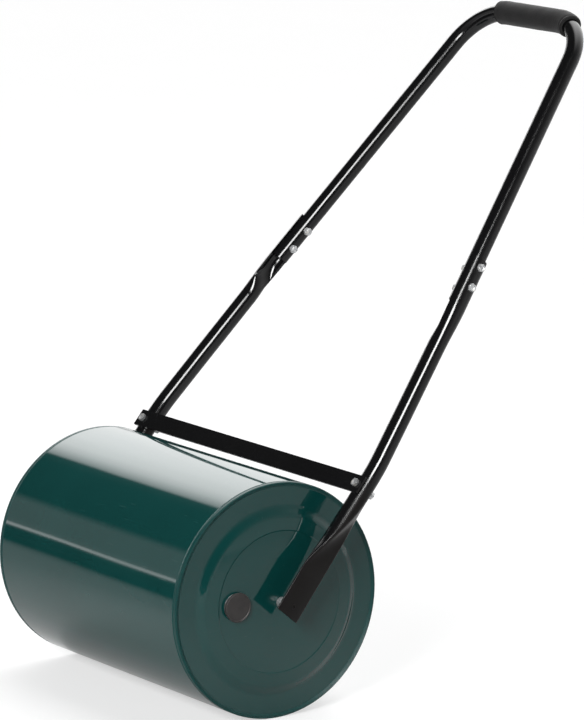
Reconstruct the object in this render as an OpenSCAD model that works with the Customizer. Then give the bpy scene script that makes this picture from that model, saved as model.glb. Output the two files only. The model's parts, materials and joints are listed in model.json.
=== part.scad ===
// Push-along lawn roller: a water-fillable steel drum on two stub pins, carried by a bolted tube handle.
// X runs along the drum axle, +Y is the way the handle leans, +Z is up.
// The origin is on the ground, straight below the middle of the drum axle.

/* [Drum] */
// outside diameter of the drum
drum_d = 320; // [310:2:330]
// length of the drum over its two rims
drum_len = 446; // [440:2:460]
// sheet thickness of the drum wall
shell_t = 1.5; // [1.2:0.1:2.0]
// width of the folded rim at each end of the drum
rim_w = 6; // [5:0.5:8]
// radial thickness of the folded rim
rim_t = 3; // [2.5:0.5:4]

/* [End discs] */
// sheet thickness of the end discs
disc_t = 1.5; // [1.2:0.1:2.0]
// how far the outer ring of a disc sits inside the rim
disc_inset = 2; // [2:0.5:4]
// height of the soft step from the outer ring up to the dome
disc_step = 6; // [5:0.5:7]
// how much further the middle of the dome stands out
dome_rise = 6; // [4:0.5:7]
// radius of the outer ring's inner edge, where the soft step begins
disc_step_r = 130; // [127:1:134]
// radius of the fine pressed ring in the dome
disc_ring_r = 97; // [94:1:100]
// height of the fine pressed ring
disc_ring_h = 0.6; // [0.4:0.1:1]

/* [Hub and axle pins] */
// outside diameter of the sealed tube that joins the two discs
hub_tube_d = 30; // [28:1:32]
// diameter of the stub pins the drum turns on
pin_d = 11; // [10:0.5:11]
// radial running clearance between a pin and its bush
pin_play = 0.05; // [0.03:0.01:0.08]
// how far a pin reaches past the rim into the drum
pin_reach = 24; // [20:1:30]
// outside diameter of the spacer sleeves that keep the drum central between the arms
sleeve_d = 15; // [14.5:0.5:17]

/* [Filler] */
// diameter of the filler plug cap
plug_d = 39.5; // [39:0.5:44]
// distance of the filler from the axle
plug_r = 70; // [66:1:72]
// angle of the filler round the axle, measured from the way the handle leans
plug_angle = 177.5; // [150:0.5:210]
// diameter of the plug stem
plug_stem_d = 32; // [30:0.5:32]
// length of the plug stem
plug_stem_len = 13; // [10:1:14]

/* [Handle] */
// angle of the handle above the ground
handle_tilt = 50.25; // [45:0.25:60]
// offset of the tubes above the plane through the axle
handle_rise = 5.5; // [4:0.5:7]
// outside diameter of the lower arm tubes
tube_d = 25; // [24:0.5:26]
// outside diameter of the upper tube
upper_d = 24; // [23:0.5:25]
// wall thickness of the handle tubes
tube_t = 1.5; // [1.2:0.1:2.0]
// distance from a drum rim to the centre of an arm's tube
arm_gap = 39; // [37:1:42]
// inward lean of the lower arms
arm_lean = 10.25; // [9:0.25:11]
// inward lean of the upper tube's legs
leg_lean = 11.6; // [11:0.1:12]
// distance from the axle where the lower arms start to lean in
arm_bend_at = 215; // [210:1:225]
// distance from the axle to the hand bar
bar_at = 926; // [880:1:960]
// bend radius of the tube at the hand bar
bend_r = 75; // [66:1:82]

/* [Feet and saddles] */
// width of the flattened foot
foot_w = 39; // [37:1:41]
// thickness of the flattened foot
foot_t = 3; // [3:0.2:4]
// distance from the axle to the end of the foot
foot_end = 15; // [12:0.5:18]
// offset of the foot above the plane through the axle, at the axle
foot_rise = 1.9; // [0:0.1:3]
// slope of the foot against the tube, in degrees
foot_slope = 2; // [0:0.25:3]
// distance from the axle to the middle of the bolted joint
joint_at = 514.5; // [505:0.5:525]
// distance of the upper tube's centre inside the lower tube's line at the joint
joint_inset = 2.7; // [2:0.1:3.5]
// distance between the two bolts of a joint
joint_pitch = 32; // [28:1:36]
// half of the length over which saddle and upper tube overlap
joint_half = 33; // [30:1:36]

/* [Crossbar] */
// distance from the axle to the middle of the crossbar
crossbar_at = 183; // [178:1:188]
// length of the crossbar
crossbar_len = 546; // [540:1:560]
// height of the crossbar strip
crossbar_h = 25; // [22:1:28]
// thickness of the crossbar strip
crossbar_t = 3; // [2.5:0.5:4]

/* [Grip] */
// outside diameter of the foam grip
grip_d = 34; // [32:0.5:37]
// distance the grip reaches round the right-hand bend
grip_wrap_right = 31; // [12:1:34]
// distance the grip reaches round the left-hand bend
grip_wrap_left = 14; // [12:1:34]

/* [Fasteners] */
// thread diameter of the bolts
bolt_d = 6; // [6:0.5:6.5]
// width across the flats of heads and nuts
bolt_af = 10; // [10:0.5:11]
// height of a bolt head
head_h = 4; // [3.5:0.5:4.5]
// height of a nut
nut_h = 5; // [4.5:0.5:6]
// length of thread standing out of a nut
bolt_tail = 1; // [1:0.5:4]

/* [Output] */
// sub-part to build

/* [Hidden] */

// facets round a full circle: large rings, tubes and small fasteners
fn_drum = 144;
fn_tube = 48;
fn_small = 32;
// sides of the swept tubes and the step round their bends in degrees
tube_sides = 32;
bend_step = 5;

// gap left between pieces that touch without pressing
touch = 0.05;

drum_r = drum_d / 2;
half_len = drum_len / 2;
shell_inner_r = drum_r - shell_t;
disc_r = drum_r - rim_t - touch;
// outer faces of the disc's outer ring, of the foot of its dome and of its centre, along X
ring_x = half_len - disc_inset;
dome_x = ring_x + disc_step;
centre_x = dome_x + dome_rise;
step_w = 17;
dome_r = disc_step_r - step_w;

tube_r = tube_d / 2;
bore_r = tube_r - tube_t;
upper_r = upper_d / 2;
upper_bore_r = upper_r - tube_t;
arm_x = half_len + arm_gap;
foot_in_x = arm_x - foot_t / 2;

pin_r = pin_d / 2;
hub_r = hub_tube_d / 2;
hub_bore_r = hub_r - 2;
bush_r = pin_r + pin_play;
bush_len = 26;
// radius of the disc's centre hole, which the sleeve hides
eye_r = pin_r + 1;
// outer ends of the hub tube and of its bush, behind the disc, along X
hub_end_x = dome_height(hub_r) - disc_t - touch;
// inner end of a spacer sleeve, along X
sleeve_play = 0.5;
sleeve_x = centre_x + sleeve_play;
// thin end of a pin riveted through the foot, with the dimple left by the riveting punch
spigot_r = 3.5;
spigot_head = 0.4;
dimple_r = 1.3;
dimple_depth = 1.2;

stem_r = plug_stem_d / 2;
stem_play = 0.08;
neck_r = stem_r + stem_play;
neck_out_r = neck_r + 2.4;
neck_len = 12;
// outer end of the neck, just clear of the dome around it, along X
neck_x = dome_height(plug_r - neck_out_r) + 0.2;
seal_t = 1.2;
cap_t = 3;
cap_lip = 1.6;
cap_dish = 0.5;
seal_out_r = neck_out_r - 0.4;

clear_hole_r = bolt_d / 2 + 0.2;
hex_r = bolt_af / 2 / cos(30);
saddle_wall = 2 * tube_t;
seat_r = upper_r + touch;
saddle_r = seat_r + saddle_wall;
// half angle the saddle reaches round the upper tube
saddle_reach = 80;

joint_x = lower_x(joint_at) - joint_inset;
leg_start = joint_at - joint_half - 4;
saddle_end = joint_at + joint_half - 2;
bar_x = upper_x(bar_at);
bend_turn = 90 - leg_lean;
bend_tangent = bend_r * tan(bend_turn / 2);
bar_half = bar_x - bend_tangent;

// ---- shape functions ----

function mix(a, b, w) = a + (b - a) * w;
function clip(v, lo, hi) = min(max(v, lo), hi);
function ease(v) = let (u = clip(v, 0, 1)) u * u * (3 - 2 * u);
// smaller of two values with the corner between them rounded over k
function soft_min(a, b, k) = min(a, b) - k * ln(1 + exp(-abs(a - b) / k));

// centre of the lower tube across the roller, at distance s from the axle
function lower_x(s) = arm_x - (s - arm_bend_at) * tan(arm_lean);
function arm_centre_x(s) = soft_min(lower_x(s), arm_x, 1.8);
// centre of the upper tube's leg across the roller
function upper_x(s) = joint_x - (s - joint_at) * tan(leg_lean);
// middle of the flattened foot, measured square to the handle plane
function foot_mid_n(s) = foot_rise + s * tan(foot_slope);

// outline point of the flattened foot at angle a
function foot_point(s, a) = [
    arm_x + foot_t / 2 * clip(3 * cos(a), -1, 1),
    foot_mid_n(s) + foot_w / 2 * sin(a)
];
// outline point of the round tube
function tube_point(s, a) = [
    arm_centre_x(s) + tube_r / cos(arm_lean) * cos(a),
    handle_rise + tube_r * sin(a)
];
// share of the round tube in the blend from the foot: the lower side flattens first
foot_blend_from = [104, 48];
foot_blend_to = [188, 98];
function foot_blend(s, a) = let (
    side = (sin(a) + 1) / 2,
    from = mix(foot_blend_from[0], foot_blend_from[1], side),
    to = mix(foot_blend_to[0], foot_blend_to[1], side)
) ease((s - from) / (to - from));
// outline point of the crushed end that cups the upper tube, m = 0 round tube, m = 1 full saddle
function saddle_point(s, a, m) = let (
    cx = mix(arm_centre_x(s), upper_x(s), m),
    inner = cos(a) < -0.001,
    turn = a > 180 ? a - 360 : a,
    face = inner ? (turn > 0 ? 180 - turn : -180 - turn) : turn,
    b = face * mix(1, saddle_reach / 90, m),
    rx = inner ? mix(-tube_r, seat_r, m) : mix(tube_r, saddle_r, m),
    rn = inner ? mix(tube_r, seat_r, m) : mix(tube_r, saddle_r, m)
) [cx + rx / cos(arm_lean) * cos(b), handle_rise + rn * sin(b)];
saddle_blend_from = 408;
saddle_blend_to = 474;
function arm_point(s, a) = s > saddle_blend_from
    ? saddle_point(s, a, ease((s - saddle_blend_from) / (saddle_blend_to - saddle_blend_from)))
    : let (w = foot_blend(s, a)) foot_point(s, a) * (1 - w) + tube_point(s, a) * w;

// distances from the axle at which the arm's outline is taken
arm_stations = concat(
    [-foot_end, -foot_end + 0.8, 0, 24],
    [for (s = [48 : 5 : 153]) s],
    [for (s = [160 : 10 : 190]) s],
    [for (s = [200 : 6 : 230]) s],
    [300, saddle_blend_from],
    [for (s = [saddle_blend_from + 6 : 6 : saddle_blend_to - 6]) s],
    [saddle_blend_to, saddle_end - 0.8, saddle_end]
);
arm_sides = 48;

// ---- helpers ----

// stands its children in the handle frame: x across, y along the handle from the axle, z square to it
module handle_frame() {
    translate([0, 0, drum_r])
        rotate([handle_tilt, 0, 0])
            children();
}

// lays its children along X, their +Z becoming +X
module along_x() {
    rotate([0, 90, 0])
        children();
}

// lays its children along the drum axle, their +Z becoming +X
module on_axle() {
    translate([0, 0, drum_r])
        along_x()
            children();
}

module both_sides() {
    children();
    mirror([1, 0, 0])
        children();
}

// stands its children on the upper tube's right leg: +Z up the leg, +X outwards
module on_leg(s) {
    translate([upper_x(s), s, handle_rise])
        rotate([0, 0, leg_lean])
            rotate([-90, 0, 0])
                children();
}

module hexagon(h) {
    cylinder(r = hex_r, h = h, $fn = 6);
}

// hex bolt with its dished head above the XY plane and its shank below
dish_depth = 1;
module hex_bolt(grip_len) {
    difference() {
        intersection() {
            hexagon(head_h);
            cylinder(r1 = hex_r + head_h, r2 = hex_r - 0.5, h = head_h, $fn = fn_small);
        }
        translate([0, 0, head_h - dish_depth])
            cylinder(r1 = bolt_af * 0.22, r2 = bolt_af * 0.36, h = dish_depth + 0.01, $fn = fn_small);
    }
    translate([0, 0, -grip_len - nut_h - bolt_tail])
        cylinder(d = bolt_d, h = grip_len + nut_h + bolt_tail + touch, $fn = fn_small);
}

// hex nut standing on the XY plane
module hex_nut() {
    difference() {
        intersection() {
            hexagon(nut_h);
            cylinder(r1 = hex_r + nut_h, r2 = hex_r - 0.5, h = nut_h, $fn = fn_small);
        }
        translate([0, 0, -1])
            cylinder(r = bolt_d / 2 + touch, h = nut_h + 2, $fn = fn_small);
    }
}

// ---- drum ----

// half outline of the drum wall as radius and height, from the middle of the drum to one rim
rim_round = 1.6;
rim_groove = 0.7;
shell_half = [
    [drum_r, half_len - rim_w - 1.6],
    [drum_r - rim_groove, half_len - rim_w - 0.9],
    [drum_r - rim_groove, half_len - rim_w - 0.3],
    [drum_r, half_len - rim_w + 0.4],
    [drum_r, half_len - rim_round],
    [drum_r - 0.3 * rim_round, half_len - 0.3 * rim_round],
    [drum_r - rim_round, half_len],
    [drum_r - rim_t + 0.8, half_len],
    [drum_r - rim_t, half_len - 0.8],
    [drum_r - rim_t, half_len - rim_w - 1],
    [shell_inner_r, half_len - rim_w - 3.4]
];

module drum_shell() {
    count = len(shell_half);
    color([0.10, 0.24, 0.22])
        on_axle()
            rotate_extrude($fn = fn_drum)
                polygon(concat(
                    shell_half,
                    [for (i = [count - 1 : -1 : 0]) [shell_half[i][0], -shell_half[i][1]]]
                ));
}

// height of the dome's outer face at radius r, along X
function dome_height(r) = centre_x - dome_rise * pow(r / dome_r, 3);
ring_w = 1.4;
dome_steps = 8;
// outer face of the disc as radius and distance along X, from the hub to the rim
function disc_face(drop) = [
    for (i = [0 : dome_steps])
        let (r = mix(eye_r, disc_ring_r - ring_w, i / dome_steps))
            [r, dome_height(r) - drop],
    for (i = [0 : dome_steps / 2])
        let (r = mix(disc_ring_r, dome_r, i / dome_steps * 2))
            [r, dome_height(r) + disc_ring_h * (1 - 2 * i / dome_steps) - drop],
    for (i = [1 : dome_steps])
        let (u = i / dome_steps)
            [mix(dome_r, disc_step_r, u), mix(dome_x, ring_x, ease(u)) - drop],
    [disc_r - 3, ring_x - drop]
];
// the disc turns out into a short flange inside the folded rim
flange_len = 1.4;
disc_flange = [
    [disc_r - 1.4, ring_x + 1],
    [disc_r - 0.9, ring_x + flange_len],
    [disc_r, ring_x + flange_len],
    [disc_r, ring_x - disc_t]
];

module end_disc(with_filler) {
    face = disc_face(0);
    back = disc_face(disc_t);
    count = len(back);
    color([0.13, 0.27, 0.25])
        on_axle()
            difference() {
                rotate_extrude($fn = fn_drum)
                    polygon(concat(face, disc_flange, [for (i = [count - 2 : -1 : 0]) back[i]]));
                if (with_filler)
                    filler_place()
                        translate([0, 0, half_len - 40])
                            cylinder(r = neck_out_r + touch, h = 60, $fn = fn_tube);
            }
}

module end_disc_right() {
    end_disc(true);
}

module end_disc_left() {
    mirror([1, 0, 0])
        end_disc(false);
}

// ---- hub ----

module hub_tube() {
    color([0.30, 0.31, 0.32])
        on_axle()
            difference() {
                translate([0, 0, -hub_end_x])
                    cylinder(r = hub_r, h = 2 * hub_end_x, $fn = fn_tube);
                translate([0, 0, -hub_end_x - 1])
                    cylinder(r = hub_bore_r, h = 2 * hub_end_x + 2, $fn = fn_tube);
            }
}

module hub_bush() {
    color([0.72, 0.72, 0.70])
        on_axle()
            difference() {
                translate([0, 0, hub_end_x - bush_len])
                    cylinder(r = hub_bore_r - touch, h = bush_len, $fn = fn_tube);
                translate([0, 0, hub_end_x - bush_len - 1])
                    cylinder(r = bush_r, h = bush_len + 2, $fn = fn_tube);
            }
}

module hub_bush_right() {
    hub_bush();
}

module hub_bush_left() {
    mirror([1, 0, 0])
        hub_bush();
}

// ---- filler ----

// places its children at the filler, inside on_axle(): +Z out of the drum
module filler_place() {
    translate([-plug_r * sin(plug_angle), plug_r * cos(plug_angle), 0])
        children();
}

module filler_neck() {
    color([0.30, 0.31, 0.32])
        on_axle()
            filler_place()
                translate([0, 0, neck_x - neck_len])
                    difference() {
                        cylinder(r = neck_out_r, h = neck_len, $fn = fn_tube);
                        translate([0, 0, -1])
                            cylinder(r = neck_r, h = neck_len + 2, $fn = fn_tube);
                    }
}

module plug_seal() {
    color([0.08, 0.08, 0.08])
        on_axle()
            filler_place()
                translate([0, 0, neck_x + touch])
                    difference() {
                        cylinder(r = seal_out_r, h = seal_t, $fn = fn_tube);
                        translate([0, 0, -1])
                            cylinder(r = stem_r + touch, h = seal_t + 2, $fn = fn_tube);
                    }
}

module filler_plug() {
    cap_x = neck_x + touch + seal_t + touch;
    cap_r = plug_d / 2;
    color([0.20, 0.17, 0.17])
        on_axle()
            filler_place()
                translate([0, 0, cap_x])
                    rotate_extrude($fn = fn_tube)
                        polygon([
                            [0, 1 - plug_stem_len],
                            [stem_r - 2.5, 1 - plug_stem_len],
                            [stem_r - 2.5, -plug_stem_len],
                            [stem_r - 0.8, -plug_stem_len],
                            [stem_r, 1.6 - plug_stem_len],
                            [stem_r, 0],
                            [cap_r - 0.4, 0],
                            [cap_r, 0.4],
                            [cap_r, cap_t - 0.9],
                            [cap_r - 0.3, cap_t - 0.3],
                            [cap_r - 0.9, cap_t],
                            [cap_r - cap_lip, cap_t],
                            [cap_r - cap_lip - 0.5, cap_t - cap_dish],
                            [0, cap_t - cap_dish + 0.3]
                        ]);
}

// ---- lower arms ----

// triangles joining each ring of points to the next; wrap also joins the last ring to the first
function skin_walls(rings, sides, wrap) = [
    for (i = [0 : rings - (wrap ? 1 : 2)])
        for (k = [0 : sides - 1])
            let (
                a = i * sides + k,
                b = i * sides + (k + 1) % sides,
                c = (i + 1) % rings * sides + (k + 1) % sides,
                d = (i + 1) % rings * sides + k
            )
                each [[a, d, c], [a, c, b]]
];

// triangles closing one ring, stitched between its outer and inner sides
function skin_cap(row, n, far) = [
    for (k = [-n / 4 : n / 4 - 1])
        let (
            a = row * n + (k + n) % n,
            b = row * n + (k + 1 + n) % n,
            c = row * n + (n / 2 - k - 1) % n,
            d = row * n + (n / 2 - k) % n
        )
            each [
                if (b != c) far ? [c, b, a] : [a, b, c],
                if (a != d) far ? [d, c, a] : [a, c, d]
            ]
];

module arm_outline() {
    rows = len(arm_stations);
    points = [
        for (s = arm_stations)
            for (k = [0 : arm_sides - 1])
                let (p = arm_point(s, 360 * k / arm_sides))
                    [p[0], s, p[1]]
    ];
    walls = skin_walls(rows, arm_sides, false);
    caps = concat(skin_cap(0, arm_sides, false), skin_cap(rows - 1, arm_sides, true));
    polyhedron(points, concat(walls, caps), convexity = 8);
}

// the hollow middle of a lower arm runs from the crossbar's bolt hole to the crushed end
bore_open = 176;
bore_from = 222;
bore_to = 402;
arm_bore_r = bore_r - 0.5;
arm_throat_r = 8;

module lower_arm() {
    color([0.07, 0.07, 0.08])
        handle_frame()
            difference() {
                arm_outline();
                // hollow middle of the tube
                translate([lower_x(bore_from) - 0.6, bore_from, handle_rise])
                    rotate([0, 0, arm_lean])
                        rotate([-90, 0, 0])
                            cylinder(r = arm_bore_r, h = (bore_to - bore_from) / cos(arm_lean), $fn = fn_tube);
                translate([arm_x - 0.6, bore_open, handle_rise])
                    rotate([-90, 0, 0])
                        cylinder(r = arm_throat_r, h = bore_from + 6 - bore_open, $fn = fn_tube);
                // seat for the upper tube
                on_leg(leg_start - 3)
                    cylinder(r = seat_r, h = 200, $fn = fn_tube);
                // joint bolts
                for (side = [-1, 1])
                    on_leg(joint_at)
                        translate([0, 0, side * joint_pitch / 2])
                            along_x()
                                cylinder(r = clear_hole_r, h = 40, $fn = fn_small);
                // crossbar bolt
                translate([crossbar_bolt_x, crossbar_at, handle_rise - 30])
                    cylinder(r = clear_hole_r, h = 60, $fn = fn_small);
                // rivet end of the axle pin
                translate([foot_in_x - 5, 0, 0])
                    along_x()
                        cylinder(r = spigot_r + touch, h = 20, $fn = fn_small);
            }
}

module lower_arm_right() {
    lower_arm();
}

module lower_arm_left() {
    mirror([1, 0, 0])
        lower_arm();
}

module axle_pin() {
    start_x = half_len - pin_reach;
    end_x = foot_in_x + foot_t + spigot_head;
    chamfer = 1.2;
    color([0.75, 0.76, 0.77])
        on_axle()
            difference() {
                union() {
                    translate([0, 0, start_x])
                        cylinder(r1 = pin_r - chamfer, r2 = pin_r, h = chamfer, $fn = fn_tube);
                    translate([0, 0, start_x + chamfer])
                        cylinder(r = pin_r, h = foot_in_x - touch - start_x - chamfer, $fn = fn_tube);
                    translate([0, 0, foot_in_x - touch])
                        cylinder(r = spigot_r, h = end_x - foot_in_x + touch, $fn = fn_small);
                }
                translate([0, 0, end_x - dimple_depth])
                    cylinder(r = dimple_r, h = dimple_depth + 1, $fn = fn_small);
            }
}

module axle_pin_right() {
    axle_pin();
}

module axle_pin_left() {
    mirror([1, 0, 0])
        axle_pin();
}

module spacer_sleeves() {
    sleeve_len = foot_in_x - touch - sleeve_x;
    color([0.75, 0.76, 0.77])
        both_sides()
            on_axle()
                translate([0, 0, sleeve_x])
                    difference() {
                        cylinder(d = sleeve_d, h = sleeve_len, $fn = fn_tube);
                        translate([0, 0, -1])
                            cylinder(r = pin_r + touch, h = sleeve_len + 2, $fn = fn_tube);
                    }
}

// ---- upper handle ----

// ring of points round the tube's centre line: spot is its middle, turn the way its outer side faces
function tube_ring(spot, turn, r) = [
    for (k = [0 : tube_sides - 1])
        let (a = 360 * k / tube_sides, out = r * cos(a))
            [spot[0] + out * cos(turn), spot[1] + out * sin(turn), handle_rise + r * sin(a)]
];
// stations along the right-hand bend, from turn lo up to the hand bar
function bend_stations(lo) = let (steps = ceil((90 - lo) / bend_step)) [
    for (i = [0 : steps])
        let (t = mix(lo, 90, i / steps))
            [[bar_half + bend_r * cos(t), bar_at - bend_r + bend_r * sin(t)], t]
];
// stations of the right side followed by mirrored ones on the left
function both_ways(right, left) = concat(
    right,
    [for (i = [len(left) - 1 : -1 : 0]) [[-left[i][0][0], left[i][0][1]], 180 - left[i][1]]]
);

// hollow tube along a list of stations
module hollow_sweep(stations, outer, inner) {
    count = len(stations);
    rings = concat(
        [for (st = stations) tube_ring(st[0], st[1], outer)],
        [for (i = [count - 1 : -1 : 0]) tube_ring(stations[i][0], stations[i][1], inner)]
    );
    polyhedron([for (ring = rings) each ring], skin_walls(2 * count, tube_sides, true), convexity = 8);
}

module upper_handle() {
    leg = concat([[[upper_x(leg_start), leg_start], leg_lean]], bend_stations(leg_lean));
    color([0.07, 0.07, 0.08])
        handle_frame()
            difference() {
                hollow_sweep(both_ways(leg, leg), upper_r, upper_bore_r);
                both_sides()
                    for (side = [-1, 1])
                        on_leg(joint_at)
                            translate([-40, 0, side * joint_pitch / 2])
                                along_x()
                                    cylinder(r = clear_hole_r, h = 80, $fn = fn_small);
            }
}

// stations of the grip on one side, reaching wrap round the bend
function grip_stations(wrap) = bend_stations(90 - wrap / bend_r * 180 / PI);

module foam_grip() {
    color([0.16, 0.16, 0.17])
        handle_frame()
            hollow_sweep(
                both_ways(grip_stations(grip_wrap_right), grip_stations(grip_wrap_left)),
                grip_d / 2,
                upper_r + 0.2
            );
}

// ---- crossbar and fasteners ----

crossbar_bolt_x = arm_x - 1;
crossbar_corner = 1.5;
crossbar_low = handle_rise + tube_r + touch;
head_low = crossbar_low + crossbar_t + touch;
// face of the crossbar's nut, clear of the arm's lower side all the way across
nut_face = arm_point(crossbar_at - hex_r, 270)[1] - touch;

module crossbar() {
    inner_l = crossbar_len / 2 - crossbar_corner;
    inner_h = crossbar_h / 2 - crossbar_corner;
    color([0.07, 0.07, 0.08])
        handle_frame()
            translate([0, crossbar_at, crossbar_low])
                difference() {
                    linear_extrude(height = crossbar_t)
                        union() {
                            square([crossbar_len, 2 * inner_h], center = true);
                            square([2 * inner_l, crossbar_h], center = true);
                            for (x = [-inner_l, inner_l])
                                for (y = [-inner_h, inner_h])
                                    translate([x, y])
                                        circle(r = crossbar_corner, $fn = 16);
                        }
                    for (x = [-crossbar_bolt_x, crossbar_bolt_x])
                        translate([x, 0, -1])
                            cylinder(r = clear_hole_r, h = crossbar_t + 2, $fn = fn_small);
                }
}

module crossbar_bolts() {
    stack = head_low - nut_face;
    color([0.78, 0.79, 0.80])
        handle_frame()
            both_sides()
                translate([crossbar_bolt_x, crossbar_at, head_low])
                    hex_bolt(stack);
}

module crossbar_nuts() {
    color([0.78, 0.79, 0.80])
        handle_frame()
            both_sides()
                translate([crossbar_bolt_x, crossbar_at, nut_face])
                    mirror([0, 0, 1])
                        hex_nut();
}

module joint_bolts() {
    stack = saddle_r + upper_r + 2 * touch;
    color([0.78, 0.79, 0.80])
        handle_frame()
            both_sides()
                for (side = [-1, 1])
                    on_leg(joint_at)
                        translate([saddle_r + touch, 0, side * joint_pitch / 2])
                            along_x()
                                rotate([0, 0, 15 * (1 - side)])
                                    hex_bolt(stack);
}

module joint_nuts() {
    color([0.78, 0.79, 0.80])
        handle_frame()
            both_sides()
                for (side = [-1, 1])
                    on_leg(joint_at)
                        translate([-upper_r - touch, 0, side * joint_pitch / 2])
                            mirror([1, 0, 0])
                                along_x()
                                    hex_nut();
}

// ---- output ----

drum_shell();
end_disc_left();
end_disc_right();
hub_tube();
hub_bush_left();
hub_bush_right();
filler_neck();
filler_plug();
plug_seal();
lower_arm_left();
lower_arm_right();
axle_pin_left();
axle_pin_right();
spacer_sleeves();
upper_handle();
foam_grip();
crossbar();
crossbar_bolts();
crossbar_nuts();
joint_bolts();
joint_nuts();
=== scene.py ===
import bmesh
import bpy
import json
import math
from mathutils import Matrix, Vector, noise


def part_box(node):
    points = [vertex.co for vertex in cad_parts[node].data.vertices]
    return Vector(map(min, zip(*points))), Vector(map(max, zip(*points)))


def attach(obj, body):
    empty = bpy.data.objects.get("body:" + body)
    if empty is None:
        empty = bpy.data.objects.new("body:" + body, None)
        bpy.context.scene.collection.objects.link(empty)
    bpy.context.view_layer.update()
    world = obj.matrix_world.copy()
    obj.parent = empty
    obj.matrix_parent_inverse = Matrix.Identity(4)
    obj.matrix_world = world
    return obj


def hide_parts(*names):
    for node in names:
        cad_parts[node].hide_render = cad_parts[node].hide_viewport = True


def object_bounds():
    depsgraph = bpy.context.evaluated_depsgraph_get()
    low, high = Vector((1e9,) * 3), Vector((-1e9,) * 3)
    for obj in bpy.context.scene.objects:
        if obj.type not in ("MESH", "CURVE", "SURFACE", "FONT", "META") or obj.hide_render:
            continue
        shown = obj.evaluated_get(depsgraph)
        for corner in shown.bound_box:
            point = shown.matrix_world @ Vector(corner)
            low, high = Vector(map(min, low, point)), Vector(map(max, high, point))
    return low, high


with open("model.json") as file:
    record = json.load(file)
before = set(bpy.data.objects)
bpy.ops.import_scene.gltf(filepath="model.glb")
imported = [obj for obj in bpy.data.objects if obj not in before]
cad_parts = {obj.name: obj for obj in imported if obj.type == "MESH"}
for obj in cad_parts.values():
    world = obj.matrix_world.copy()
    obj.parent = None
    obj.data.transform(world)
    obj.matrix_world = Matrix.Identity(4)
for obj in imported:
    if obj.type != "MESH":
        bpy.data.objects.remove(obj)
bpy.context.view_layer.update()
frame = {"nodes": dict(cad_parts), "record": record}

nodes = frame["nodes"]
MM = 0.001


def middle(name):
    """Middle of a node's box."""
    low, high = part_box(name)
    return (low + high) / 2


# everything that isn't a CAD part is placed from the middle of the drum's axle
AXLE = middle("drum_shell")

# ---- small helpers for node trees ----


def add_node(tree, kind, inputs=None, **settings):
    """A new node with its settings; an input is a value or a socket to link."""
    made = tree.nodes.new(kind)
    for name, value in settings.items():
        setattr(made, name, value)
    for name, value in (inputs or {}).items():
        if isinstance(value, bpy.types.NodeSocket):
            tree.links.new(value, made.inputs[name])
        else:
            made.inputs[name].default_value = value
    return made


def maths(tree, operation, first, second=0.0, clamp=False):
    """One arithmetic step on values or sockets."""
    made = add_node(tree, "ShaderNodeMath", {0: first, 1: second}, operation=operation)
    made.use_clamp = clamp
    return made.outputs[0]


def map_range(tree, value, low, high, to_low, to_high, smooth=False):
    """The value moved from one range to another and held inside it."""
    made = add_node(
        tree, "ShaderNodeMapRange",
        {"Value": value, "From Min": low, "From Max": high, "To Min": to_low, "To Max": to_high},
    )
    made.interpolation_type = "SMOOTHSTEP" if smooth else "LINEAR"
    return made.outputs["Result"]


def ramp(tree, value, stops):
    """A colour ramp; stops are (position, grey) or (position, (r, g, b))."""
    made = add_node(tree, "ShaderNodeValToRGB", {"Fac": value})
    elements = made.color_ramp.elements
    while len(elements) > 1:
        elements.remove(elements[-1])
    for i, (position, colour) in enumerate(stops):
        if not isinstance(colour, tuple):
            colour = (colour, colour, colour)
        spot = elements[0] if i == 0 else elements.new(position)
        spot.position = position
        spot.color = colour + (1.0,)
    return made.outputs["Color"]


def mix_colour(tree, share, first, second, blend="MIX"):
    """The first colour with a share of the second blended in."""
    made = add_node(tree, "ShaderNodeMix", data_type="RGBA", blend_type=blend)
    for index, value in ((0, share), (6, first), (7, second)):
        if isinstance(value, bpy.types.NodeSocket):
            tree.links.new(value, made.inputs[index])
        else:
            made.inputs[index].default_value = value if index == 0 else tuple(value) + (1.0,)
    return made.outputs[2]


def object_space(tree, scale=(1.0, 1.0, 1.0)):
    """Position on the piece, stretched by a scale per axis."""
    place = add_node(tree, "ShaderNodeTexCoord").outputs["Object"]
    return add_node(tree, "ShaderNodeMapping", {"Vector": place, "Scale": scale}).outputs["Vector"]


def noise_at(tree, place, scale, detail=3.0, roughness=0.55):
    """Cloud noise between 0 and 1."""
    return add_node(
        tree, "ShaderNodeTexNoise",
        {"Vector": place, "Scale": scale, "Detail": detail, "Roughness": roughness},
    ).outputs["Fac"]


def bump(tree, height, distance, strength=1.0, below=None):
    """A normal tilted by a height; below is a coarser bump it lies on."""
    inputs = {"Height": height, "Distance": distance, "Strength": strength}
    if below is not None:
        inputs["Normal"] = below
    return add_node(tree, "ShaderNodeBump", inputs).outputs["Normal"]


def new_material(name):
    """An empty material with its surface shader joined to the output."""
    material = bpy.data.materials.new(name)
    material.use_nodes = True
    tree = material.node_tree
    tree.nodes.clear()
    surface = add_node(tree, "ShaderNodeBsdfPrincipled")
    output = add_node(tree, "ShaderNodeOutputMaterial")
    tree.links.new(surface.outputs["BSDF"], output.inputs["Surface"])
    return material, tree, surface


def connect(tree, surface, **sockets):
    """Links or sets inputs of the surface shader; underscores stand for spaces."""
    for name, value in sockets.items():
        target = surface.inputs[name.replace("_", " ")]
        if isinstance(value, bpy.types.NodeSocket):
            tree.links.new(value, target)
        else:
            target.default_value = value


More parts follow.
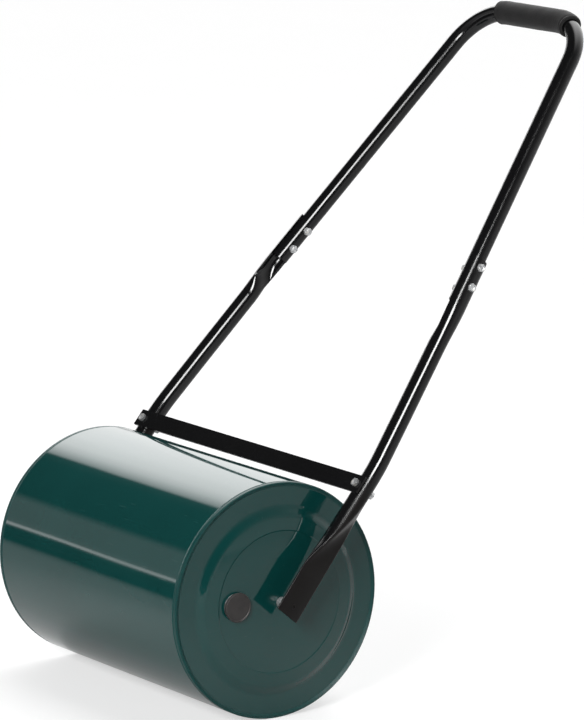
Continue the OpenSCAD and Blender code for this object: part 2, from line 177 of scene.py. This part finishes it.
def radius_from_axle(tree, place):
    """Distance from the line the drum turns on."""
    past_axle = add_node(
        tree, "ShaderNodeVectorMath", {0: place, 1: AXLE}, operation="SUBTRACT"
    ).outputs["Vector"]
    in_plane = add_node(
        tree, "ShaderNodeVectorMath", {0: past_axle, 1: (0.0, 1.0, 1.0)}, operation="MULTIPLY"
    ).outputs["Vector"]
    return add_node(tree, "ShaderNodeVectorMath", {0: in_plane}, operation="LENGTH").outputs["Value"]


def distance_across(tree, place):
    """Distance from the middle of the roller along its axle."""
    parts = add_node(tree, "ShaderNodeSeparateXYZ", {"Vector": place}).outputs
    return maths(tree, "ABSOLUTE", parts["X"])


def worn_edges(tree, radius, low, high):
    """Mask that is 1 along sharp edges, broken up by noise."""
    round_normal = add_node(tree, "ShaderNodeBevel", {"Radius": radius}, samples=4).outputs["Normal"]
    true_normal = add_node(tree, "ShaderNodeNewGeometry").outputs["Normal"]
    agree = add_node(
        tree, "ShaderNodeVectorMath", {0: round_normal, 1: true_normal}, operation="DOT_PRODUCT"
    ).outputs["Value"]
    edge = map_range(tree, agree, 0.97, 0.80, 0.0, 1.0)
    patches = map_range(tree, noise_at(tree, object_space(tree), 90.0, 4.0), low, high, 0.0, 1.0)
    return maths(tree, "MULTIPLY", edge, patches, clamp=True)


# ---- materials ----

GREEN = (0.0026, 0.0385, 0.0358)
GREEN_LIGHT = (0.0034, 0.0440, 0.0410)
GREEN_SCUFF = (0.030, 0.075, 0.070)
BLACK = (0.0042, 0.0042, 0.0046)
BLACK_WORN = (0.018, 0.0175, 0.017)
BLACK_PRESSED = (0.0062, 0.0052, 0.0050)
ZINC_WARM = (0.70, 0.63, 0.48)
STEEL = (0.30, 0.30, 0.31)
RUST = (0.16, 0.07, 0.03)
PLUG_DARK = (0.0122, 0.0100, 0.0095)
PLUG_LIGHT = (0.0205, 0.0170, 0.0160)
PLUG_EDGE = (0.050, 0.046, 0.044)
FOAM_DARK = (0.0068, 0.0064, 0.0068)
FOAM_LIGHT = (0.0105, 0.0098, 0.0100)

# where the folded rims and their grooves begin, along the axle and out from it
RIM_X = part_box("drum_shell")[1].x - 8 * MM
RIM_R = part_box("drum_shell")[1].y - 6 * MM
# the pressed foot's dull finish is full inside the first radius from the axle and gone at the second
PRESSED_FULL_R = 0.165
PRESSED_GONE_R = 0.215
# distance across the roller at which a pin comes out of its foot and is painted over
PIN_PAINTED_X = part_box("axle_pin_right")[1].x - 1.9 * MM
# gloss of bare and of dull painted surfaces
SHINE = 0.5
SHINE_DULL = 0.17


def green_paint():
    """Gloss enamel over pressed steel: slow dents, fine orange peel, faint scuffs, duller rims."""
    material, tree, surface = new_material("green_gloss_enamel")
    place = object_space(tree)
    drift = noise_at(tree, place, 6.0, 2.0)
    tone = mix_colour(tree, map_range(tree, drift, 0.35, 0.65, 0.0, 1.0), GREEN, GREEN_LIGHT)
    scratch_place = object_space(tree, (16.0, 260.0, 260.0))
    scratches = map_range(tree, noise_at(tree, scratch_place, 1.0, 2.0), 0.69, 0.74, 0.0, 0.22)
    edges = worn_edges(tree, 1.2 * MM, 0.52, 0.66)
    scuffed = maths(tree, "MAXIMUM", scratches, maths(tree, "MULTIPLY", edges, 0.5))
    smear = noise_at(tree, object_space(tree, (1.0, 5.0, 5.0)), 3.0, 3.0)
    gloss = map_range(tree, smear, 0.3, 0.75, 0.035, 0.075)
    dents = bump(tree, noise_at(tree, object_space(tree, (0.45, 1.0, 1.0)), 9.0, 1.0), 0.5 * MM)
    peel = bump(tree, noise_at(tree, place, 420.0, 2.0), 0.012 * MM, 1.0, dents)
    at_end = map_range(tree, distance_across(tree, place), RIM_X - 1.0 * MM, RIM_X, 0.0, 1.0)
    at_edge = map_range(tree, radius_from_axle(tree, place), RIM_R - 0.5 * MM, RIM_R, 0.0, 1.0)
    rim = maths(tree, "MULTIPLY", at_end, at_edge)
    dulled = maths(tree, "ADD", maths(tree, "MULTIPLY", rim, 0.32), maths(tree, "MULTIPLY", scuffed, 0.4))
    connect(
        tree, surface,
        Base_Color=mix_colour(tree, scuffed, tone, GREEN_SCUFF),
        Roughness=maths(tree, "ADD", gloss, dulled),
        Specular_IOR_Level=map_range(tree, rim, 0.0, 1.0, SHINE, 0.22),
        IOR=1.5,
        Normal=peel,
    )
    return material


def black_paint():
    """Powder-coated tube: near black, glossy, a slight peel and dull rubbed edges."""
    material, tree, surface = new_material("black_gloss_coat")
    place = object_space(tree)
    edges = worn_edges(tree, 0.8 * MM, 0.50, 0.64)
    specks = map_range(tree, noise_at(tree, place, 700.0, 2.0), 0.68, 0.75, 0.0, 0.35)
    worn = maths(tree, "MAXIMUM", specks, maths(tree, "MULTIPLY", edges, 0.7))
    smear = noise_at(tree, place, 14.0, 3.0)
    gloss = map_range(tree, smear, 0.3, 0.7, 0.10, 0.17)
    peel = bump(tree, noise_at(tree, place, 260.0, 2.0), 0.02 * MM)
    normal = add_node(tree, "ShaderNodeNewGeometry").outputs["Normal"]
    facing = add_node(tree, "ShaderNodeSeparateXYZ", {"Vector": normal}).outputs["X"]
    flat_side = map_range(tree, maths(tree, "ABSOLUTE", facing), 0.80, 0.90, 0.0, 1.0, smooth=True)
    near_foot = map_range(
        tree, radius_from_axle(tree, place), PRESSED_GONE_R, PRESSED_FULL_R, 0.0, 1.0, smooth=True
    )
    pressed = maths(tree, "MULTIPLY", flat_side, near_foot)
    colour = mix_colour(tree, worn, BLACK, BLACK_WORN)
    roughness = maths(tree, "ADD", gloss, maths(tree, "MULTIPLY", worn, 0.3))
    connect(
        tree, surface,
        Base_Color=mix_colour(tree, pressed, colour, BLACK_PRESSED),
        Roughness=maths(tree, "ADD", roughness, maths(tree, "MULTIPLY", pressed, 0.22)),
        IOR=1.46,
        Specular_IOR_Level=map_range(tree, pressed, 0.0, 1.0, SHINE, SHINE_DULL),
        Normal=peel,
    )
    return material


def zinc(name, brightness=1.0, painted_from=None):
    """Zinc plate: cloudy, faintly warm, finely pitted; black beyond painted_from along the axle;
    brightness below 1 darkens it all as painted shade.
    """
    material, tree, surface = new_material(name)
    place = object_space(tree)
    clouds = noise_at(tree, place, 240.0, 4.0, 0.65)
    tone = ramp(tree, clouds, [
        (0.32, (0.26, 0.26, 0.27)), (0.50, (0.58, 0.59, 0.60)), (0.68, (0.84, 0.84, 0.83)),
    ])
    warm = map_range(tree, noise_at(tree, place, 120.0, 2.0), 0.58, 0.72, 0.0, 0.35)
    plated = mix_colour(tree, warm, tone, ZINC_WARM)
    # brightness below 1 is painted shade over the whole plate
    plated = mix_colour(tree, 1.0, plated, (brightness, brightness, brightness), "MULTIPLY")
    pits = noise_at(tree, place, 900.0, 3.0)
    roughness = map_range(tree, clouds, 0.3, 0.7, 0.46, 0.30)
    metal = 0.5
    shine = SHINE
    if painted_from is not None:
        bare = maths(tree, "LESS_THAN", distance_across(tree, place), painted_from)
        shine = map_range(tree, bare, 0.0, 1.0, SHINE_DULL, SHINE)
        plated = mix_colour(tree, bare, BLACK_PRESSED, plated)
        roughness = map_range(tree, bare, 0.0, 1.0, 0.35, 0.38)
        metal = maths(tree, "MULTIPLY", bare, 0.5)
    connect(
        tree, surface,
        Base_Color=plated,
        Metallic=metal,
        Specular_IOR_Level=shine,
        Roughness=roughness,
        Normal=bump(tree, pits, 0.09 * MM),
    )
    return material


def inner_steel():
    """Bare drawn steel inside the drum, with a bloom of rust."""
    material, tree, surface = new_material("bare_steel")
    place = object_space(tree)
    rust = map_range(tree, noise_at(tree, place, 60.0, 5.0, 0.7), 0.56, 0.72, 0.0, 0.8)
    draw_lines = noise_at(tree, object_space(tree, (8.0, 500.0, 500.0)), 1.0, 3.0)
    connect(
        tree, surface,
        Base_Color=mix_colour(tree, rust, STEEL, RUST),
        Metallic=maths(tree, "SUBTRACT", 1.0, rust),
        Roughness=map_range(tree, rust, 0.0, 0.8, 0.38, 0.85),
        Normal=bump(tree, draw_lines, 0.05 * MM),
    )
    return material


def plug_plastic():
    """Moulded dark brown-black plastic with a fine spark-eroded grain."""
    material, tree, surface = new_material("dark_moulded_plastic")
    place = object_space(tree)
    mottling = noise_at(tree, place, 120.0, 4.0, 0.6)
    grain = noise_at(tree, place, 1400.0, 2.0)
    edges = worn_edges(tree, 0.7 * MM, 0.45, 0.62)
    tone = mix_colour(tree, map_range(tree, mottling, 0.35, 0.68, 0.0, 1.0), PLUG_DARK, PLUG_LIGHT)
    connect(
        tree, surface,
        Base_Color=mix_colour(tree, maths(tree, "MULTIPLY", edges, 0.6), tone, PLUG_EDGE),
        Roughness=map_range(tree, mottling, 0.3, 0.7, 0.36, 0.55),
        IOR=1.48,
        Normal=bump(tree, grain, 0.03 * MM),
    )
    return material


def seal_rubber():
    """Matt black rubber with a chalky bloom."""
    material, tree, surface = new_material("seal_rubber")
    place = object_space(tree)
    bloom = noise_at(tree, place, 300.0, 4.0, 0.7)
    connect(
        tree, surface,
        Base_Color=ramp(tree, bloom, [(0.35, 0.010), (0.60, 0.016), (0.80, 0.045)]),
        Roughness=map_range(tree, bloom, 0.3, 0.7, 0.65, 0.9),
        Normal=bump(tree, bloom, 0.05 * MM),
    )
    return material


def foam():
    """Closed-cell foam rubber: tiny cells, a soft sheen, palms have polished it a little."""
    material, tree, surface = new_material("foam_rubber")
    place = object_space(tree)
    cells = add_node(
        tree, "ShaderNodeTexVoronoi", {"Vector": place, "Scale": 950.0}, feature="F1"
    ).outputs["Distance"]
    fuzz = noise_at(tree, place, 420.0, 4.0, 0.7)
    patches = noise_at(tree, place, 26.0, 3.0)
    tone = mix_colour(tree, map_range(tree, patches, 0.35, 0.65, 0.0, 1.0), FOAM_DARK, FOAM_LIGHT)
    shade = ramp(tree, cells, [(0.0, 1.35), (0.45, 1.0), (0.85, 0.55)])
    skin = bump(tree, fuzz, 0.10 * MM, 0.8)
    connect(
        tree, surface,
        Base_Color=mix_colour(tree, 1.0, tone, shade, "MULTIPLY"),
        Roughness=map_range(tree, patches, 0.3, 0.7, 0.92, 0.78),
        Specular_IOR_Level=0.25,
        Sheen_Weight=0.12,
        Sheen_Roughness=0.5,
        Normal=bump(tree, cells, 0.12 * MM, 0.8, skin),
    )
    return material


GREEN_PAINT = green_paint()
BLACK_PAINT = black_paint()
ZINC = zinc("bright_zinc_plate")
# a darker copy of the zinc: painted shade on the spacer sleeves in the gap between disc and foot, and on
# the crossbar bolts
SHADED_ZINC = zinc("zinc_plate_painted_shade", 0.55)
# the pins are darkened the same way, painted shade in the gap between disc and foot
PIN_METAL = zinc("pin_with_painted_end", 0.55, painted_from=PIN_PAINTED_X)
INNER_STEEL = inner_steel()
PLUG_PLASTIC = plug_plastic()
SEAL_RUBBER = seal_rubber()
FOAM = foam()

# ---- finish of the carried parts ----

FINISH = {
    "drum_shell": GREEN_PAINT,
    "end_disc_left": GREEN_PAINT,
    "end_disc_right": GREEN_PAINT,
    "hub_tube": INNER_STEEL,
    "hub_bush_left": ZINC,
    "hub_bush_right": ZINC,
    "filler_neck": INNER_STEEL,
    "filler_plug": PLUG_PLASTIC,
    "plug_seal": SEAL_RUBBER,
    "lower_arm_left": BLACK_PAINT,
    "lower_arm_right": BLACK_PAINT,
    "axle_pin_left": PIN_METAL,
    "axle_pin_right": PIN_METAL,
    "spacer_sleeves": SHADED_ZINC,
    "upper_handle": BLACK_PAINT,
    "foam_grip": FOAM,
    "crossbar": BLACK_PAINT,
    "crossbar_bolts": SHADED_ZINC,
    "crossbar_nuts": ZINC,
    "joint_bolts": ZINC,
    "joint_nuts": ZINC,
}
# skins made of flat triangles, which need smooth shading worked out again
SWEPT = ("lower_arm_left", "lower_arm_right", "upper_handle")
CREASE_ANGLE = math.radians(50)
WELD_WITHIN = 0.002 * MM


def set_material(obj, material):
    """Gives the whole piece one material."""
    obj.data.materials.clear()
    obj.data.materials.append(material)


def smooth_swept(obj):
    """Joins the skin's triangles and shades them smooth up to the crease angle."""
    mesh = obj.data
    for name in ("custom_normal", "sharp_edge", "sharp_face"):
        found = mesh.attributes.get(name)
        if found is not None:
            mesh.attributes.remove(found)
    mesh.polygons.foreach_set("use_smooth", [True] * len(mesh.polygons))
    weld = obj.modifiers.new("join", "WELD")
    weld.merge_threshold = WELD_WITHIN
    split = obj.modifiers.new("creases", "EDGE_SPLIT")
    split.split_angle = CREASE_ANGLE
    split.use_edge_sharp = False


for name, material in FINISH.items():
    set_material(nodes[name], material)
for name in SWEPT:
    smooth_swept(nodes[name])

# ---- foam grip ----

# the hand bar's middle and the square of the handle's plane come from the grip's mount
MOUNT = next(m for m in frame["record"]["mounts"] if m["name"] == "hand_grip")
BAR_MIDDLE = Vector(MOUNT["pos_m"])
ACROSS = Vector((1.0, 0.0, 0.0))
OUT_OF_PLANE = Vector(MOUNT["axis"]).normalized()
ALONG = OUT_OF_PLANE.cross(ACROSS).normalized()
# the tube's bends, and how far the foam reaches into each of them
BEND_R = 75 * MM
WRAP_RIGHT = 31 * MM
WRAP_LEFT = 14 * MM
GRIP_R = 17 * MM
GRIP_BORE_R = 12.3 * MM
END_ROUND = 2.4 * MM
END_STEPS = 4
GRIP_SIDES = 72
GRIP_STEP = 2.2 * MM
BORE_STEPS = 48
# depths of the foam's unevenness
DENT = 0.32 * MM
GRAIN = 0.10 * MM
CREASE = 0.35 * MM
SHRINK = 0.2 * MM
PULL_IN = 0.45 * MM
PULL_LENGTH = 9 * MM
# straight half of the hand bar, and where the sleeve starts and ends along it
BAR_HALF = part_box("foam_grip")[1].x - (BEND_R + GRIP_R) * math.sin(WRAP_RIGHT / BEND_R)
GRIP_FROM = -(BAR_HALF + WRAP_LEFT)
GRIP_TO = BAR_HALF + WRAP_RIGHT


def grip_line(travel):
    """Centre point, outward direction and turn at a distance from the bar's middle, right positive."""
    side = 1.0 if travel >= 0 else -1.0
    turn = max(abs(travel) - BAR_HALF, 0.0) / BEND_R
    x = min(abs(travel), BAR_HALF) + BEND_R * math.sin(turn)
    drop = BEND_R * (1.0 - math.cos(turn))
    centre = BAR_MIDDLE + ACROSS * (side * x) - ALONG * drop
    outward = ACROSS * (side * math.sin(turn)) + ALONG * math.cos(turn)
    return centre, outward, turn


def outer_stations():
    """The sleeve's outside as (distance along the bar, radius, softness), rounded at both ends."""
    end_curve = []
    for step in range(END_STEPS + 1):
        angle = math.radians(90 * step / END_STEPS)
        end_curve.append((END_ROUND * (1 - math.sin(angle)), END_ROUND * (1 - math.cos(angle))))
    count = int((GRIP_TO - GRIP_FROM) / GRIP_STEP)
    inner_from, inner_to = GRIP_FROM + END_ROUND, GRIP_TO - END_ROUND
    stations = [(GRIP_FROM, GRIP_BORE_R, 0.0)]
    for back, inset in reversed(end_curve):
        stations.append((GRIP_FROM + inset, GRIP_R - back, 0.0))
    for i in range(1, count):
        stations.append((inner_from + (inner_to - inner_from) * i / count, GRIP_R, 1.0))
    for back, inset in end_curve:
        stations.append((GRIP_TO - inset, GRIP_R - back, 0.0))
    stations.append((GRIP_TO, GRIP_BORE_R, 0.0))
    return stations


def foam_change(spot, travel, turn, inward, soft):
    """The foam's unevenness from dents and creases inside the bends, and its tightening at the ends."""
    inside_bend = max(inward, 0.0) * min(turn * 6.0, 1.0)
    crease = inside_bend * CREASE * math.sin(travel / MM * 1.15)
    dents = DENT * noise.noise(spot * 55.0) + GRAIN * noise.noise(spot * 420.0)
    near_end = min(travel - GRIP_FROM, GRIP_TO - travel) / PULL_LENGTH
    return soft * (dents + crease), PULL_IN * max(1.0 - near_end, 0.0) ** 2


def grip_ring(made, travel, radius, soft=None):
    """One ring of corners round the bar; soft None leaves it a plain circle."""
    centre, outward, turn = grip_line(travel)
    ring = []
    for k in range(GRIP_SIDES):
        angle = 2 * math.pi * k / GRIP_SIDES
        side = outward * math.cos(angle) + OUT_OF_PLANE * math.sin(angle)
        spot = centre + side * radius
        if soft is not None:
            uneven, pull_in = foam_change(spot, travel, turn, -math.cos(angle), soft)
            change = uneven - (pull_in if radius > GRIP_BORE_R else 0.0)
            spot = spot + side * (change - SHRINK * soft)
        ring.append(made.verts.new(spot))
    return ring


def build_grip():
    """Foam sleeve swept along the hand bar: rounded ends, soft dents and creases inside its bends."""
    made = bmesh.new()
    rings = [grip_ring(made, travel, radius, soft) for travel, radius, soft in outer_stations()]
    for i in range(1, BORE_STEPS):
        rings.append(grip_ring(made, GRIP_TO + (GRIP_FROM - GRIP_TO) * i / BORE_STEPS, GRIP_BORE_R))
    for i, ring in enumerate(rings):
        following = rings[(i + 1) % len(rings)]
        for k in range(GRIP_SIDES):
            j = (k + 1) % GRIP_SIDES
            made.faces.new((ring[k], ring[j], following[j], following[k]))
    bmesh.ops.recalc_face_normals(made, faces=made.faces)
    mesh = bpy.data.meshes.new("grip_sleeve")
    made.to_mesh(mesh)
    made.free()
    mesh.polygons.foreach_set("use_smooth", [True] * len(mesh.polygons))
    mesh.materials.append(FOAM)
    obj = bpy.data.objects.new("grip_sleeve", mesh)
    bpy.context.scene.collection.objects.link(obj)
    return obj


grip = build_grip()
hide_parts("foam_grip")
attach(grip, "handle")

# ---- studio ----

FLOOR_SIZE = 80.0
# how pale the floor is in reflections and bounced light, near the roller and far behind it; the paler
# tone far behind is painted light
FLOOR_TONE = 0.47
FLOOR_BACK = 0.92
# how pale it is straight to the camera, and its own light there
FLOOR_SEEN = 0.42
FLOOR_GLOW = 0.56
# its own light in reflections, close to the drum
NEAR_GLOW = 0.21
# directions across the floor away from the camera
AWAY_X = -0.81
AWAY_Y = 0.555


def build_floor():
    """Pale seamless floor under the drum; in reflections and bounced light it carries painted light:
    paler far behind, painted shade in front, and a glow close to the drum.
    """
    low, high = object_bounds()
    mesh = bpy.data.meshes.new("floor")
    half = FLOOR_SIZE / 2
    corners = [(-half, -half, low.z), (half, -half, low.z), (half, half, low.z), (-half, half, low.z)]
    mesh.from_pydata(corners, [], [(0, 1, 2, 3)])
    floor = bpy.data.objects.new("floor", mesh)
    bpy.context.scene.collection.objects.link(floor)
    material, tree, surface = new_material("pale_floor")
    place = object_space(tree)
    drift = map_range(tree, noise_at(tree, place, 3.0, 3.0), 0.3, 0.7, 0.99, 1.0)
    rays = add_node(tree, "ShaderNodeLightPath").outputs
    parts = add_node(tree, "ShaderNodeSeparateXYZ", {"Vector": place}).outputs
    flat = add_node(tree, "ShaderNodeCombineXYZ", {"X": parts["X"], "Y": parts["Y"]}).outputs["Vector"]
    away = add_node(tree, "ShaderNodeVectorMath", {0: flat}, operation="LENGTH").outputs["Value"]
    behind_y = maths(tree, "MULTIPLY", parts["Y"], AWAY_Y)
    behind_x = maths(tree, "MULTIPLY", parts["X"], AWAY_X)
    behind = maths(tree, "ADD", behind_y, behind_x)
    # painted light: in reflections and bounced light the floor grows paler far behind the roller
    painted_light_back = map_range(tree, behind, 1.2, 3.0, FLOOR_TONE, FLOOR_BACK, smooth=True)
    # painted shade: in reflections and bounced light the floor is darkened in front of the roller
    painted_shade_front = map_range(tree, parts["Y"], -1.75, -0.80, 0.05, 1.0, smooth=True)
    mirrored = maths(tree, "MULTIPLY", painted_light_back, painted_shade_front)
    tone = add_node(
        tree, "ShaderNodeMix", {0: rays["Is Camera Ray"], 2: mirrored, 3: FLOOR_SEEN}, data_type="FLOAT"
    ).outputs[0]
    near_glow = map_range(tree, away, 0.35, 1.0, NEAR_GLOW, 0.0, smooth=True)
    glow = maths(
        tree, "ADD",
        maths(tree, "MULTIPLY", rays["Is Camera Ray"], FLOOR_GLOW),
        maths(tree, "MULTIPLY", rays["Is Glossy Ray"], near_glow),
    )
    connect(
        tree, surface,
        Base_Color=maths(tree, "MULTIPLY", tone, drift),
        Roughness=0.9,
        Specular_IOR_Level=0.0,
        Emission_Color=(1.0, 1.0, 1.0, 1.0),
        Emission_Strength=glow,
    )
    mesh.materials.append(material)


# brightness of the studio round the drum's own axis, in degrees up from +Y
SKY = [
    (-180, 0.04), (-176, 0.04), (-172, 0.90), (2, 0.90), (5, 1.60), (20, 2.15), (35, 2.80), (52, 3.60),
    (68, 4.00), (76, 3.55),
    (82, 2.60), (86, 1.80), (88.5, 0.10), (97, 0.04), (138, 0.04), (145, 0.50), (164, 0.50),
    (169, 0.60), (170, 2.30), (171.6, 2.50), (172.4, 0.50), (174.5, 0.05), (180, 0.04),
]
# the same on the +X side, where the panel has faded out
SKY_SIDE = [
    (-180, 0.90), (-2, 0.90), (0, 0.70), (7, 0.65), (23, 0.45), (45, 0.28), (80, 0.08), (90, 0.04),
    (180, 0.04),
]
# the brightest level above
SKY_TOP = 4.0


def build_world():
    """Studio light by direction: a large soft panel behind and above, a dark gap, a dim wall in front."""
    world = bpy.data.worlds.new("studio")
    world.use_nodes = True
    tree = world.node_tree
    tree.nodes.clear()
    bpy.context.scene.world = world
    direction = add_node(tree, "ShaderNodeTexCoord").outputs["Generated"]
    parts = add_node(tree, "ShaderNodeSeparateXYZ", {"Vector": direction}).outputs
    angle = maths(tree, "ARCTAN2", parts["Z"], parts["Y"])
    share = map_range(tree, angle, -math.pi, math.pi, 0.0, 1.0)
    levels = []
    for profile in (SKY, SKY_SIDE):
        stops = [((degrees + 180) / 360, level / SKY_TOP) for degrees, level in profile]
        levels.append(maths(tree, "MULTIPLY", ramp(tree, share, stops), SKY_TOP))
    fade = map_range(tree, parts["X"], -0.35, 0.70, 0.0, 1.0, smooth=True)
    lit = add_node(
        tree, "ShaderNodeMix", {0: fade, 2: levels[0], 3: levels[1]}, data_type="FLOAT"
    ).outputs[0]
    to_camera = add_node(tree, "ShaderNodeLightPath").outputs["Is Camera Ray"]
    seen = add_node(tree, "ShaderNodeMix", {0: to_camera, 2: lit, 3: 1.0}, data_type="FLOAT").outputs[0]
    background = add_node(tree, "ShaderNodeBackground", {"Color": (1.0, 1.0, 1.0, 1.0), "Strength": seen})
    output = add_node(tree, "ShaderNodeOutputWorld")
    tree.links.new(background.outputs["Background"], output.inputs["Surface"])


# the soft boxes stand this far from a point a little above the drum, their long side along LONG_WAY
LIGHT_DISTANCE = 5.0
LIGHT_AIM = AXLE + Vector((0.0, 0.2, 0.25))
LONG_WAY = Vector((-0.70, -0.455, 0.545))
LINES_FROM = Vector((0.70, -0.59, 0.41))
SHADE_FROM = Vector((0.52, -0.757, 0.395))
LINES_WIDTH = 1.75


def soft_box(name, toward, width, height, shift, radiance):
    """Rectangular light that faces LIGHT_AIM, slid down along its height by shift."""
    light = bpy.data.lights.new(name, "AREA")
    light.shape = "RECTANGLE"
    light.size = width
    light.size_y = height
    light.energy = radiance * math.pi * width * height
    holder = bpy.data.objects.new(name, light)
    bpy.context.scene.collection.objects.link(holder)
    back = toward.normalized()
    side = (LONG_WAY - back * LONG_WAY.dot(back)).normalized()
    up = back.cross(side)
    turn = Matrix((side, up, back)).transposed().to_4x4()
    middle_of_light = LIGHT_AIM + back * LIGHT_DISTANCE + up * shift
    holder.matrix_world = Matrix.Translation(middle_of_light) @ turn
    holder.visible_camera = False
    return holder


def build_lights():
    """Two boxes that draw the white lines along tubes and folds, and one that only lights and shades."""
    line_box = soft_box("line_box", LINES_FROM, LINES_WIDTH, 1.38, 0.31, 27.0)
    line_box.visible_diffuse = False
    fold_box = soft_box("fold_box", LINES_FROM, LINES_WIDTH, 2.20, -2.50, 34.0)
    fold_box.visible_diffuse = False
    shade_box = soft_box("shade_box", SHADE_FROM, 1.5, 1.3, 0.0, 38.0)
    shade_box.visible_glossy = False


CAMERA_AZIMUTH = math.radians(55.597)
CAMERA_ELEVATION = math.radians(10.849)
CAMERA_DISTANCE = 6.4834
CAMERA_AIM = AXLE + Vector((0.0385, 0.1509, 0.2792))
CAMERA_LENS = 238.0
CAMERA_FILM = 36.0


def build_camera():
    """Long lens a little above the handle's foot."""
    back = Vector((
        math.sin(CAMERA_AZIMUTH) * math.cos(CAMERA_ELEVATION),
        -math.cos(CAMERA_AZIMUTH) * math.cos(CAMERA_ELEVATION),
        math.sin(CAMERA_ELEVATION),
    ))
    lens = bpy.data.cameras.new("camera")
    lens.sensor_fit = "VERTICAL"
    lens.sensor_height = CAMERA_FILM
    lens.lens = CAMERA_LENS
    lens.clip_end = 200.0
    camera = bpy.data.objects.new("camera", lens)
    bpy.context.scene.collection.objects.link(camera)
    right = Vector((0.0, 0.0, 1.0)).cross(back).normalized()
    turn = Matrix((right, back.cross(right), back)).transposed().to_4x4()
    camera.matrix_world = Matrix.Translation(CAMERA_AIM + back * CAMERA_DISTANCE) @ turn
    bpy.context.scene.camera = camera


build_floor()
build_world()
build_lights()
build_camera()
bpy.context.scene.view_settings.view_transform = "Standard"

bpy.context.view_layer.update()
